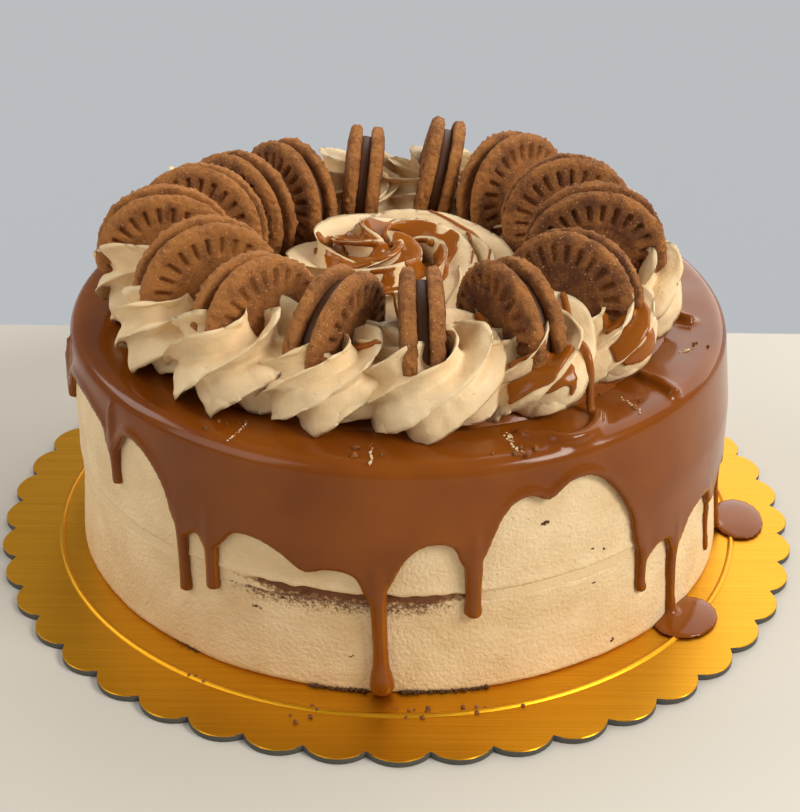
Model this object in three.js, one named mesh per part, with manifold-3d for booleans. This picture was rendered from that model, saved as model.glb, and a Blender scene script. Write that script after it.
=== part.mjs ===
// A round caramel drip cake on a scalloped gold board, in millimetres, +Z up.
// The origin is the middle of the board's underside.
// Azimuths are in degrees, 0 along +X and counted towards +Y; the front of the cake faces -Y.
import * as THREE from "three";
import { mergeVertices } from "three/addons/utils/BufferGeometryUtils.js";
import Module from "manifold-3d";

const wasm = await Module();
wasm.setup();

// Gap that neighbouring solids keep
const GAP = 0.3;

// Cake board
const BOARD_THICKNESS = 2;
const BOARD_SCALLOPS = 46;
const SCALLOP_CORNERS = 3;
const BOARD_FIRST_NOTCH = 164.869;
const BOARD_NOTCH_RADIUS = 121.5;
const BOARD_CREST_RADIUS = 125.3;
const BOARD_EDGE_ROUNDING = 0.6;

// Cake: heights are above the board's top, the axis leans by the shift from foot to top,
// and the top rises by the slope from the front to the back
const CAKE_HEIGHT = 73.5;
const TOP_SLOPE = 0.03;
const CAKE_FOOT = { x: 0.9, y: 4 };
const CAKE_TOP_SHIFT = { x: -1.2, y: -2.5 };
const CAKE_FOOT_RADIUS = 101.6;
const CAKE_TOP_RADIUS = 98.8;
const FOOT_FLARE = 1.6;
const FLARE_HEIGHT = 20;
const CAKE_SIDES = 42;
const GLAZE_SIDES = 88;
const COAT_FOOT = 49;
const GLAZE_THICKNESS = 1.6;
const GLAZE_RIM_ROUNDING = 4.5;
const SEAM_HEIGHT = 32.6;
const SPONGE_THICKNESS = 3;
const SPONGE_INSET = 0.9;
const UPPER_OVERHANG = 0.5;

// Caramel drips from left to right across the front, then round the back.
// root is where the drip leaves the glaze, tip its lower end, arch the top of the bare patch after it.
const FRONT_DRIPS = [
  { azimuth: -166, width: 3.4, root: 58, tip: 48, arch: 64 },
  { azimuth: -142, width: 3.4, root: 57, tip: 41.5, arch: 62 },
  { azimuth: -125.6, width: 3.8, root: 44, tip: 18.8, arch: 44.5 },
  { azimuth: -119.7, width: 4.2, root: 43, tip: 23.2, arch: 47 },
  { azimuth: -104, width: 0, root: 37.5, tip: 37.5, arch: 40.5 },
  { azimuth: -93.1, width: 4.9, root: 34.5, tip: 3, arch: 49.5 },
  { azimuth: -78.5, width: 4.8, root: 43, tip: 22.9, arch: 60.5 },
  { azimuth: -66.6, width: 0, root: 57, tip: 57, arch: 61.5 },
  { azimuth: -48, width: 3.7, root: 32, tip: 14.9, arch: 30 },
  { azimuth: -38.8, width: 3.8, root: 28, tip: 1, arch: 33 },
  { azimuth: -24.6, width: 2.6, root: 30, tip: 7.5, arch: 33 },
  { azimuth: -10.5, width: 2.6, root: 29, tip: 1, arch: 40 },
];
const BACK_DRIPS = 9;
const BACK_FROM = 2;
const BACK_TO = 184;
const DRIP_THICKNESS = 2.1;

// Caramel that has run on to the board: azimuth and distance from the cake's foot, and half sizes
const PUDDLE_SIDES = 10;
const PUDDLES = [
  { azimuth: -93.1, distance: 103.6, along: 3.4, across: 3.9, height: 3.4 },
  { azimuth: -38.4, distance: 106, along: 10, across: 12, height: 2 },
  { azimuth: -6.5, distance: 109, along: 9, across: 13, height: 1.8 },
];

// Thick caramel strands on the glaze, as points in plan
const STRANDS = [
  {
    width: 2.4,
    points: [
      [53, -70],
      [51.5, -76],
      [47.5, -80.5],
      [43, -82.5],
      [39, -81],
      [35, -81],
      [31, -78.5],
    ],
  },
  {
    width: 3,
    points: [
      [66.5, -47.5],
      [71, -52],
      [74, -55.5],
      [75.5, -59],
    ],
  },
  {
    width: 3,
    points: [
      [78, -6],
      [81, -10],
      [84, -13],
      [87, -14.5],
    ],
  },
];

// Ring of piped swirls, one round each biscuit, and the flat rosette inside it
const RING_CENTRE = { x: -3.5, y: -1 };
const SWIRL_DISTANCE = 66;
const SWIRL_HALF_LENGTH = 24;
const SWIRL_HALF_WIDTH = 22;
const SWIRL_HEIGHT = 22;
const SWIRL_PETALS = 6;
const SWIRL_TWIST = 40;
const ROSETTE_CENTRE = { x: -2.5, y: 0.5 };
const ROSETTE_RADIUS = 36.5;
const ROSETTE_HEIGHT = 18;
const ROSETTE_PETALS = 9;
// Petals of a piped star: a sharp ridge, then a flat valley, so three corners to a petal
const PETAL_CORNERS = 3;

// Sandwich biscuits: two wafers with a filling set back between them
const BISCUIT_RADIUS = 20.4;
const BISCUIT_THICKNESS = 13;
const WAFER_THICKNESS = 4.7;
const WAFER_ROUNDING = 2;
const FILLING_INSET = 2.2;
const BISCUIT_SIDES = 14;
const SLOT_SIDES = 10;
// Each stands on edge in its swirl: distance from the ring's centre, height of its middle above the
// board, turn about the vertical and lean to one side
const BISCUITS = [
  { azimuth: -81, distance: 62, height: 88, turn: 8, lean: 2 },
  { azimuth: -57, distance: 61.5, height: 87, turn: 3, lean: 0 },
  { azimuth: -34, distance: 61.5, height: 88.5, turn: -4, lean: -9 },
  { azimuth: -10, distance: 61, height: 94, turn: -7, lean: 5 },
  { azimuth: 20, distance: 59, height: 91, turn: 19, lean: -8 },
  { azimuth: 50, distance: 62, height: 89, turn: 10, lean: -7 },
  { azimuth: 76, distance: 62.5, height: 89, turn: -12, lean: 12 },
  { azimuth: 99, distance: 61.5, height: 86, turn: 9, lean: 6 },
  { azimuth: 125, distance: 58, height: 85.5, turn: -6, lean: 4 },
  { azimuth: 147, distance: 57, height: 87, turn: 3, lean: 4 },
  { azimuth: 167, distance: 59, height: 89, turn: 0, lean: 10 },
  { azimuth: 188, distance: 65, height: 91, turn: 2, lean: -5 },
  { azimuth: 214, distance: 60, height: 91, turn: 10, lean: -1 },
  { azimuth: 235.5, distance: 61, height: 87, turn: 11, lean: 7 },
  { azimuth: 256.5, distance: 59, height: 86.5, turn: 13, lean: -6 },
];

const COLOURS = {
  board: 0xb8862a,
  cream: 0xd7be96,
  sponge: 0x3a1f12,
  caramel: 0x7a4420,
  biscuit: 0x8a5834,
};

const radians = THREE.MathUtils.degToRad;
const mod360 = (angle) => THREE.MathUtils.euclideanModulo(angle, 360);

// A seeded random number from 0 to 1, the same on every run
function makeRandom(seed) {
  let state = seed;
  return () => {
    state = (state * 1664525 + 1013904223) % 4294967296;
    return state / 4294967296;
  };
}

// Joins and cuts of closed geometries
function solidOf(geometry) {
  const bare = new THREE.BufferGeometry();
  bare.setAttribute("position", geometry.getAttribute("position"));
  if (geometry.index) bare.setIndex(geometry.index);
  const merged = mergeVertices(bare, 1e-4);
  const mesh = new wasm.Mesh({
    numProp: 3,
    vertProperties: new Float32Array(merged.attributes.position.array),
    triVerts: new Uint32Array(merged.index.array),
  });
  return new wasm.Manifold(mesh);
}

function geometryOf(solid) {
  const mesh = solid.getMesh();
  const geometry = new THREE.BufferGeometry();
  geometry.setAttribute("position", new THREE.BufferAttribute(mesh.vertProperties, 3));
  geometry.setIndex(new THREE.BufferAttribute(mesh.triVerts, 1));
  return geometry;
}

function largestBody(solid) {
  const bodies = solid.decompose();
  return bodies.reduce((best, body) => (body.volume() > best.volume() ? body : best));
}

// A closed skin through equal rings of points, closed to a point or a flat fan at each end
function skinThroughRings(rings) {
  const count = rings[0].length;
  const vertices = rings.flat();
  const faces = [];
  for (let level = 0; level < rings.length - 1; level++) {
    for (let i = 0; i < count; i++) {
      const j = (i + 1) % count;
      const a = level * count + i;
      const b = level * count + j;
      faces.push(a, b, a + count, b, b + count, a + count);
    }
  }
  const middleOf = (ring) =>
    ring.reduce((sum, p) => sum.add(p), new THREE.Vector3()).divideScalar(ring.length);
  const top = vertices.push(middleOf(rings[rings.length - 1])) - 1;
  const bottom = vertices.push(middleOf(rings[0])) - 1;
  const last = (rings.length - 1) * count;
  for (let i = 0; i < count; i++) {
    const j = (i + 1) % count;
    faces.push(last + i, last + j, top);
    faces.push(j, i, bottom);
  }
  const geometry = new THREE.BufferGeometry().setFromPoints(vertices);
  geometry.setIndex(faces);
  return geometry;
}

// The cake's wall: axis and outer radius at a height above the board
function wallAt(height) {
  const share = height / CAKE_HEIGHT;
  const flare = FOOT_FLARE * Math.max(0, 1 - height / FLARE_HEIGHT);
  const taper = THREE.MathUtils.lerp(CAKE_FOOT_RADIUS - FOOT_FLARE, CAKE_TOP_RADIUS, share);
  return {
    x: CAKE_FOOT.x + CAKE_TOP_SHIFT.x * share,
    y: CAKE_FOOT.y + CAKE_TOP_SHIFT.y * share,
    radius: taper + flare,
  };
}

function wallPoint(azimuth, height, outward) {
  const wall = wallAt(height);
  const angle = radians(azimuth);
  const y = wall.y + (wall.radius + outward) * Math.sin(angle);
  const rise = (TOP_SLOPE * (y - CAKE_FOOT.y) * height) / CAKE_HEIGHT;
  return new THREE.Vector3(
    wall.x + (wall.radius + outward) * Math.cos(angle),
    y,
    BOARD_THICKNESS + height + rise,
  );
}

// Height of the glaze's top above the board's underside
function glazeTop(y) {
  return BOARD_THICKNESS + CAKE_HEIGHT + TOP_SLOPE * (y - CAKE_FOOT.y);
}

function wallRing(height, outward) {
  const ring = [];
  for (let i = 0; i < CAKE_SIDES; i++) ring.push(wallPoint((i * 360) / CAKE_SIDES, height, outward));
  return ring;
}

function makeBoard() {
  const outline = new THREE.Shape();
  const step = (2 * Math.PI) / BOARD_SCALLOPS;
  const halfChord = BOARD_NOTCH_RADIUS * Math.sin(step / 2);
  const rise = BOARD_CREST_RADIUS - BOARD_NOTCH_RADIUS * Math.cos(step / 2);
  const arcRadius = (halfChord * halfChord + rise * rise) / (2 * rise);
  const spread = Math.asin(halfChord / arcRadius);
  const reach = BOARD_CREST_RADIUS - arcRadius;
  const corners = [];
  for (let i = 0; i < BOARD_SCALLOPS; i++) {
    const middle = radians(BOARD_FIRST_NOTCH) + (i + 0.5) * step;
    for (let corner = 0; corner < SCALLOP_CORNERS; corner++) {
      const turn = middle - spread + (2 * spread * corner) / SCALLOP_CORNERS;
      const radius = arcRadius - BOARD_EDGE_ROUNDING;
      const x = reach * Math.cos(middle) + radius * Math.cos(turn);
      const y = reach * Math.sin(middle) + radius * Math.sin(turn);
      corners.push(new THREE.Vector2(x, y));
    }
  }
  outline.setFromPoints(corners);
  const plate = new THREE.ExtrudeGeometry(outline, {
    depth: BOARD_THICKNESS - 2 * BOARD_EDGE_ROUNDING,
    bevelThickness: BOARD_EDGE_ROUNDING,
    bevelSize: BOARD_EDGE_ROUNDING,
    bevelSegments: 1,
  });
  return plate.translate(0, 0, BOARD_EDGE_ROUNDING);
}

function makeLowerCake() {
  return skinThroughRings([
    wallRing(GAP, 0),
    wallRing(0.4 * FLARE_HEIGHT, 0),
    wallRing(FLARE_HEIGHT, 0),
    wallRing(SEAM_HEIGHT - SPONGE_THICKNESS - GAP, -UPPER_OVERHANG),
  ]);
}

function makeSpongeLayer() {
  return skinThroughRings([
    wallRing(SEAM_HEIGHT - SPONGE_THICKNESS, -SPONGE_INSET),
    wallRing(SEAM_HEIGHT - GAP, -SPONGE_INSET),
  ]);
}

// How far the cream under the glaze stands in from the wall, which it meets at the coat's foot
function coatInset(height) {
  const share = (height - COAT_FOOT) / (CAKE_HEIGHT - GLAZE_RIM_ROUNDING - COAT_FOOT);
  return -GLAZE_THICKNESS * THREE.MathUtils.clamp(share, 0, 1);
}

// The turn from the wall to the flat top under the glaze, or inside it where gap is 0
function rimRings(ringAt, gap) {
  const bend = GLAZE_RIM_ROUNDING - GLAZE_THICKNESS;
  const top = CAKE_HEIGHT - GLAZE_THICKNESS - gap;
  const side = -GLAZE_THICKNESS - gap;
  return [ringAt(top - bend, side), ringAt(top, side - bend)];
}

// The upper cake overhangs the seam a little and fits inside the glaze above
function makeUpperCake() {
  return skinThroughRings([
    wallRing(SEAM_HEIGHT, 0),
    wallRing(COAT_FOOT, 0),
    ...rimRings(wallRing, GAP),
  ]);
}

// All drips in order of azimuth, the hidden side's worked out by a rule like the seen side's
function allDrips() {
  const random = makeRandom(11);
  const drips = [...FRONT_DRIPS];
  for (let i = 0; i < BACK_DRIPS; i++) {
    const share = (i + 0.5 + 0.5 * (random() - 0.5)) / BACK_DRIPS;
    const root = 32 + 16 * random();
    drips.push({
      azimuth: BACK_FROM + (BACK_TO - BACK_FROM) * share,
      width: 3 + 2 * random(),
      root,
      tip: Math.max(6, root - 12 - 24 * random()),
      arch: root + 4 + 10 * random(),
    });
  }
  return drips;
}

// Height of the glaze's lower edge: an arch between each drip and the next
function makeEdgeHeight(drips) {
  return (azimuth) => {
    for (let i = 0; i < drips.length; i++) {
      const left = drips[i];
      const right = drips[(i + 1) % drips.length];
      const span = mod360(right.azimuth - left.azimuth);
      const from = mod360(azimuth - left.azimuth);
      if (from <= span) {
        const share = from / span;
        const chord = THREE.MathUtils.lerp(left.root, right.root, share);
        const peak = Math.max(left.arch - (left.root + right.root) / 2, 0.5);
        return chord + peak * Math.pow(Math.sin(Math.PI * share), 0.7);
      }
    }
    return CAKE_HEIGHT / 2;
  };
}

// A drip hugs the wall from inside the glaze to its rounded tip
function makeDrip(drip) {
  const wall = wallAt(drip.root);
  const half = drip.width / 2;
  const top = drip.root + 7;
  const levels = [
    { height: drip.tip, size: 0.45, swell: 0.45 },
    { height: drip.tip + 0.35 * drip.width, size: 0.95, swell: 0.9 },
    { height: drip.tip + drip.width, size: 1.15, swell: 1.15 },
    { height: drip.root - 1, size: 0.95, swell: 0.75 },
    { height: top, size: 2, swell: 0.55 },
  ];
  const section = [
    [-1, 0],
    [-0.6, 0.9],
    [0.6, 0.9],
    [1, 0],
  ];
  const rings = levels
    .filter((level, i) => i < 3 || level.height > drip.tip + 1.3 * drip.width)
    .map((level) =>
      section.map(([side, out]) => {
        const turn = THREE.MathUtils.radToDeg((side * half * level.size) / wall.radius);
        const outward = GAP + out * DRIP_THICKNESS * level.swell;
        return wallPoint(drip.azimuth + turn, level.height, outward);
      }),
    );
  return skinThroughRings(rings);
}

function makePuddle(puddle) {
  const levels = [
    { height: GAP, size: 1 },
    { height: GAP + 0.45 * puddle.height, size: 1 },
    { height: GAP + 0.85 * puddle.height, size: 0.82 },
    { height: GAP + puddle.height, size: 0.4 },
  ];
  const angle = radians(puddle.azimuth);
  const rings = levels.map((level) => {
    const ring = [];
    for (let i = 0; i < PUDDLE_SIDES; i++) {
      const turn = (i * 2 * Math.PI) / PUDDLE_SIDES;
      const out = puddle.distance + puddle.along * level.size * Math.cos(turn);
      const side = puddle.across * level.size * Math.sin(turn);
      ring.push(
        new THREE.Vector3(
          CAKE_FOOT.x + out * Math.cos(angle) - side * Math.sin(angle),
          CAKE_FOOT.y + out * Math.sin(angle) + side * Math.cos(angle),
          BOARD_THICKNESS + level.height,
        ),
      );
    }
    return ring;
  });
  return skinThroughRings(rings);
}

// A strand of caramel lying on the glaze, half sunk in it, or the room it takes with a clearance
function makeStrand(strand, clearance) {
  const route = new THREE.CatmullRomCurve3(
    strand.points.map(([x, y]) => new THREE.Vector3(x, y, glazeTop(y) + 0.1 * strand.width)),
  );
  const section = new THREE.Shape();
  section.absarc(0, 0, strand.width / 2 + clearance, 0, 2 * Math.PI);
  return new THREE.ExtrudeGeometry(section, {
    steps: 2 * (strand.points.length - 1),
    curveSegments: 3,
    extrudePath: route,
  });
}

// The glaze covers the top, turns over the rim and ends in arches and drips
function makeGlaze() {
  const drips = allDrips();
  const edgeHeight = makeEdgeHeight(drips);
  const rimTop = CAKE_HEIGHT - GLAZE_RIM_ROUNDING;
  const ringOf = (place) => {
    const ring = [];
    for (let i = 0; i < GLAZE_SIDES; i++) ring.push(place((i * 360) / GLAZE_SIDES));
    return ring;
  };
  const shoulder = (azimuth) => Math.max(edgeHeight(azimuth) + 1, COAT_FOOT);
  const inside = rimRings((height, outward) => ringOf((a) => wallPoint(a, height, outward)), 0);
  const rings = [
    ...inside.reverse(),
    ringOf((a) => wallPoint(a, shoulder(a), coatInset(shoulder(a)) + GAP)),
    ringOf((a) => wallPoint(a, edgeHeight(a), coatInset(edgeHeight(a)) + GAP)),
    ringOf((a) => wallPoint(a, edgeHeight(a) + 0.8, coatInset(edgeHeight(a)) + GAP + GLAZE_THICKNESS)),
    ringOf((a) => wallPoint(a, rimTop, 0)),
    ringOf((a) => wallPoint(a, CAKE_HEIGHT - 0.3 * GLAZE_RIM_ROUNDING, -0.3 * GLAZE_RIM_ROUNDING)),
    ringOf((a) => wallPoint(a, CAKE_HEIGHT, -GLAZE_RIM_ROUNDING)),
  ];
  let glaze = solidOf(skinThroughRings(rings));
  for (const drip of drips.filter((d) => d.width > 0)) glaze = glaze.add(solidOf(makeDrip(drip)));
  const foot = [wallRing(0, GAP), wallRing(FLARE_HEIGHT, GAP), wallRing(SEAM_HEIGHT, GAP)];
  const cakeFoot = solidOf(skinThroughRings(foot));
  for (const puddle of PUDDLES) glaze = glaze.add(solidOf(makePuddle(puddle)).subtract(cakeFoot));
  for (const strand of STRANDS) glaze = glaze.add(solidOf(makeStrand(strand, 0)));
  return geometryOf(largestBody(glaze));
}

function petalReach(index, depth) {
  return index % PETAL_CORNERS === 0 ? 1 : 1 - depth;
}

// A mound of piped cream whose petals turn as they climb
function makePipedMound(petals, levels, place) {
  const count = PETAL_CORNERS * petals;
  const rings = levels.map((level) => {
    const ring = [];
    for (let i = 0; i < count; i++) {
      const angle = (i / count) * 2 * Math.PI + radians(level.turn);
      const reach = level.size * petalReach(i, level.depth);
      ring.push(place(reach * Math.cos(angle), reach * Math.sin(angle), level.height));
    }
    return ring;
  });
  return skinThroughRings(rings);
}

// A wedge of the ring between the halfway planes to the two neighbouring swirls
function makeSector(index) {
  const here = BISCUITS[index].azimuth;
  const before = BISCUITS[(index + BISCUITS.length - 1) % BISCUITS.length].azimuth;
  const after = BISCUITS[(index + 1) % BISCUITS.length].azimuth;
  const start = radians(here - mod360(here - before) / 2);
  const end = radians(here + mod360(after - here) / 2);
  const reach = 2 * SWIRL_DISTANCE;
  const apex = GAP / 2 / Math.sin((end - start) / 2);
  const middle = (start + end) / 2;
  const tip = { x: apex * Math.cos(middle), y: apex * Math.sin(middle) };
  const outline = new THREE.Shape();
  outline.moveTo(tip.x, tip.y);
  outline.lineTo(tip.x + reach * Math.cos(start), tip.y + reach * Math.sin(start));
  outline.lineTo(tip.x + reach * Math.cos(end), tip.y + reach * Math.sin(end));
  const wedge = new THREE.ExtrudeGeometry(outline, { depth: CAKE_HEIGHT, bevelEnabled: false });
  return wedge.translate(RING_CENTRE.x, RING_CENTRE.y, CAKE_HEIGHT / 2);
}

function makeSwirl(index) {
  const angle = radians(BISCUITS[index].azimuth);
  const levels = [
    { height: 0, size: 0.86, depth: 0.2, turn: 0 },
    { height: 0.2 * SWIRL_HEIGHT, size: 1, depth: 0.26, turn: 0.2 * SWIRL_TWIST },
    { height: 0.7 * SWIRL_HEIGHT, size: 0.8, depth: 0.32, turn: 0.8 * SWIRL_TWIST },
    { height: SWIRL_HEIGHT, size: 0.3, depth: 0.3, turn: 1.6 * SWIRL_TWIST },
  ];
  const mound = makePipedMound(SWIRL_PETALS, levels, (x, y, z) => {
    const out = SWIRL_DISTANCE + x * SWIRL_HALF_LENGTH;
    const side = y * SWIRL_HALF_WIDTH;
    const across = RING_CENTRE.y + out * Math.sin(angle) + side * Math.cos(angle);
    return new THREE.Vector3(
      RING_CENTRE.x + out * Math.cos(angle) - side * Math.sin(angle),
      across,
      glazeTop(across) + GAP + z,
    );
  });
  let piped = solidOf(mound).intersect(solidOf(makeSector(index)));
  const count = BISCUITS.length;
  for (const near of [index + count - 1, index, index + 1]) {
    const slot = makeDisc(BISCUIT_RADIUS + GAP, BISCUIT_THICKNESS + 2 * GAP);
    piped = piped.subtract(solidOf(placeBiscuit(slot, near % count)));
  }
  for (const strand of STRANDS) piped = piped.subtract(solidOf(makeStrand(strand, 2 * GAP)));
  return geometryOf(largestBody(piped));
}

function makeRosette() {
  const levels = [
    { height: 0, size: 0.9, depth: 0.12, turn: 0 },
    { height: 5, size: 1, depth: 0.16, turn: 8 },
    { height: 11, size: 0.93, depth: 0.18, turn: 20 },
    { height: 13.5, size: 0.68, depth: 0.12, turn: 44 },
    { height: 12, size: 0.56, depth: 0.12, turn: 56 },
    { height: 16.5, size: 0.4, depth: 0.16, turn: 80 },
    { height: ROSETTE_HEIGHT, size: 0.16, depth: 0.2, turn: 110 },
  ];
  return makePipedMound(ROSETTE_PETALS, levels, (x, y, z) => {
    const across = ROSETTE_CENTRE.y + y * ROSETTE_RADIUS;
    const height = glazeTop(across) + GAP + z;
    return new THREE.Vector3(ROSETTE_CENTRE.x + x * ROSETTE_RADIUS, across, height);
  });
}

// A plain disc on edge, its axis along +Y, whose flats clear the radius
function makeDisc(radius, thickness) {
  const corner = radius / Math.cos(Math.PI / SLOT_SIDES);
  return new THREE.CylinderGeometry(corner, corner, thickness, SLOT_SIDES);
}

function makeBiscuit() {
  const half = BISCUIT_THICKNESS / 2;
  const gap = half - WAFER_THICKNESS;
  const core = BISCUIT_RADIUS - FILLING_INSET;
  const profile = [
    new THREE.Vector2(0, -half),
    new THREE.Vector2(BISCUIT_RADIUS - WAFER_ROUNDING, -half),
    new THREE.Vector2(BISCUIT_RADIUS, WAFER_ROUNDING - half),
    new THREE.Vector2(BISCUIT_RADIUS, -gap),
    new THREE.Vector2(core, -gap),
    new THREE.Vector2(core, gap),
    new THREE.Vector2(BISCUIT_RADIUS, gap),
    new THREE.Vector2(BISCUIT_RADIUS, half - WAFER_ROUNDING),
    new THREE.Vector2(BISCUIT_RADIUS - WAFER_ROUNDING, half),
    new THREE.Vector2(0, half),
  ];
  return new THREE.LatheGeometry(profile, BISCUIT_SIDES);
}

// Stands a disc radially in the ring: its axis points round the ring, then it is turned and leant
function placeBiscuit(geometry, index) {
  const { azimuth, distance, height, turn, lean } = BISCUITS[index];
  const angle = radians(azimuth);
  geometry.rotateX(radians(lean));
  geometry.rotateZ(angle - radians(turn));
  return geometry.translate(
    RING_CENTRE.x + distance * Math.cos(angle),
    RING_CENTRE.y + distance * Math.sin(angle),
    BOARD_THICKNESS + height,
  );
}

// All the room above the glaze
function makeRoomAbove() {
  const reach = 2 * CAKE_TOP_RADIUS;
  const corners = [
    [-reach, -reach],
    [reach, -reach],
    [reach, reach],
    [-reach, reach],
  ];
  return skinThroughRings([
    corners.map(([x, y]) => new THREE.Vector3(x, y, glazeTop(y) + GAP)),
    corners.map(([x, y]) => new THREE.Vector3(x, y, 2 * CAKE_HEIGHT)),
  ]);
}

// The hidden foot of a biscuit ends just above the glaze
function makeStandingBiscuit(index) {
  const biscuit = solidOf(placeBiscuit(makeBiscuit(), index));
  return geometryOf(biscuit.intersect(solidOf(makeRoomAbove())));
}

const cake = new THREE.Group();

function addPiece(name, geometry, colour, roughness, metalness = 0) {
  const material = new THREE.MeshStandardMaterial({ color: colour, roughness, metalness });
  const mesh = new THREE.Mesh(geometry, material);
  mesh.name = name;
  cake.add(mesh);
}

addPiece("cake_board", makeBoard(), COLOURS.board, 0.35, 0.8);
addPiece("cake_lower", makeLowerCake(), COLOURS.cream, 0.6);
addPiece("sponge_layer", makeSpongeLayer(), COLOURS.sponge, 0.9);
addPiece("cake_upper", makeUpperCake(), COLOURS.cream, 0.6);
addPiece("caramel_glaze", makeGlaze(), COLOURS.caramel, 0.2);
addPiece("centre_rosette", makeRosette(), COLOURS.cream, 0.6);
BISCUITS.forEach((_, i) => {
  const number = String(i + 1).padStart(2, "0");
  addPiece(`swirl_${number}`, makeSwirl(i), COLOURS.cream, 0.6);
  addPiece(`biscuit_${number}`, makeStandingBiscuit(i), COLOURS.biscuit, 0.85);
});

export default cake;
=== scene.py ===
import random
from math import atan2, cos, degrees, exp, hypot, pi, radians, sin

import bpy
import numpy as np
from mathutils import Matrix, Quaternion, Vector, noise
from mathutils.bvhtree import BVHTree


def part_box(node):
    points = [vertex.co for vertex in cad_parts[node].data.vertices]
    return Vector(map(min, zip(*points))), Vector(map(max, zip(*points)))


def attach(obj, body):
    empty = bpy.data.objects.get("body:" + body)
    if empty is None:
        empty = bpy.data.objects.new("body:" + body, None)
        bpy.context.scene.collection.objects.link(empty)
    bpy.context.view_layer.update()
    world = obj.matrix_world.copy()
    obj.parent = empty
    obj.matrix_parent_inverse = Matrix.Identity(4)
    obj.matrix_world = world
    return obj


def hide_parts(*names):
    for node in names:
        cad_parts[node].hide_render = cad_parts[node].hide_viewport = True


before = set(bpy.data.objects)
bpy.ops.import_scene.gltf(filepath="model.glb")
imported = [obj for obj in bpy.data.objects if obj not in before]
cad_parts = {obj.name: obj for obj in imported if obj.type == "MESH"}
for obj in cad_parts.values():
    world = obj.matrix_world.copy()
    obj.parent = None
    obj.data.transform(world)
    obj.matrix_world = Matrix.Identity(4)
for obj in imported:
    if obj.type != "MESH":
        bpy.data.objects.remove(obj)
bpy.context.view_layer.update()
scene = bpy.context.scene
mm = 0.001

# The cake's axis leans from foot to top, and the top rises a little towards the back
cake = {
    "height": 73.5 * mm,
    "foot": (0.9 * mm, 4 * mm),
    "topShift": (-1.2 * mm, -2.5 * mm),
    "topSlope": 0.03,
    "footRadius": 101.6 * mm,
    "topRadius": 98.8 * mm,
    "flare": 1.6 * mm,  # the foot spreads over its lowest 20 mm
    "flareHeight": 20 * mm,
}
boardBottom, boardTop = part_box("cake_board")[0][2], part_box("cake_board")[1][2]


# Small helpers

def deselectAll():
    bpy.ops.object.select_all(action="DESELECT")


def activate(*pieces):
    deselectAll()
    for piece in pieces:
        piece.select_set(True)
    bpy.context.view_layer.objects.active = pieces[0]


def editWhole(piece):
    activate(piece)
    bpy.ops.object.mode_set(mode="EDIT")
    bpy.ops.mesh.select_all(action="SELECT")


def leaveEdit():
    bpy.ops.object.mode_set(mode="OBJECT")


def addPrimitive(operator, **settings):
    deselectAll()
    operator(**settings)
    return bpy.context.object


def addObject(name, data):
    thing = bpy.data.objects.new(name, data)
    scene.collection.objects.link(thing)
    return thing


def copyPiece(source, name):
    piece = source.copy()
    piece.data = source.data.copy()
    piece.name = piece.data.name = name
    scene.collection.objects.link(piece)
    return piece


def applyModifier(piece, kind, **settings):
    activate(piece)
    modifier = piece.modifiers.new(kind.lower(), kind)
    for key, value in settings.items():
        setattr(modifier, key, value)
    bpy.ops.object.modifier_apply(modifier=modifier.name)


# Gives joined parts one even skin and smooths it
def fuse(piece, voxel, passes):
    applyModifier(piece, "REMESH", mode="VOXEL", voxel_size=voxel, adaptivity=0)
    applyModifier(piece, "SMOOTH", factor=0.5, iterations=passes)


def joinPieces(pieces, name):
    activate(*pieces)
    if len(pieces) > 1:
        bpy.ops.object.join()
    joined = bpy.context.view_layer.objects.active
    joined.name = joined.data.name = name
    return joined


def mergeAndTurnOut(piece, distance=1e-6):
    editWhole(piece)
    bpy.ops.mesh.remove_doubles(threshold=distance)
    bpy.ops.mesh.normals_make_consistent(inside=False)
    leaveEdit()


# A round piece grown ring by ring from a small circle: profile points are (radius, height)
def growRings(name, profile, sides):
    tiny = 0.005 * mm
    radius, height = profile[0]
    radius = max(radius, tiny)
    piece = addPrimitive(bpy.ops.mesh.primitive_circle_add, vertices=sides, radius=radius)
    piece.name = piece.data.name = name
    editWhole(piece)
    bpy.ops.transform.translate(value=(0, 0, height))
    for nextRadius, nextHeight in profile[1:]:
        nextRadius = max(nextRadius, tiny)
        bpy.ops.mesh.extrude_edges_move(TRANSFORM_OT_translate={"value": (0, 0, nextHeight - height)})
        scale = nextRadius / radius
        bpy.ops.transform.resize(value=(scale, scale, 1), center_override=(0, 0, nextHeight))
        radius, height = nextRadius, nextHeight
    leaveEdit()
    mergeAndTurnOut(piece, 3 * tiny)
    return piece


# A strand through points, with a radius at each: round, or of a section that turns with the tilts
def sweepStrand(name, points, radii, tilts=None, section=None):
    curve = bpy.data.curves.new(name, "CURVE")
    curve.dimensions = "3D"
    curve.twist_mode = "Z_UP" if section else "MINIMUM"
    curve.use_fill_caps = True
    if section:
        curve.bevel_mode = "OBJECT"
        curve.bevel_object = section
    else:
        curve.bevel_depth = 1
        curve.bevel_resolution = 4
    spline = curve.splines.new("POLY")
    spline.points.add(len(points) - 1)
    for i, point in enumerate(points):
        spline.points[i].co = (*point, 1)
        spline.points[i].radius = radii[i]
        if tilts:
            spline.points[i].tilt = tilts[i]
    activate(addObject(name, curve))
    bpy.ops.object.convert(target="MESH")
    strand = bpy.context.object
    mergeAndTurnOut(strand)
    return strand


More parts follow.
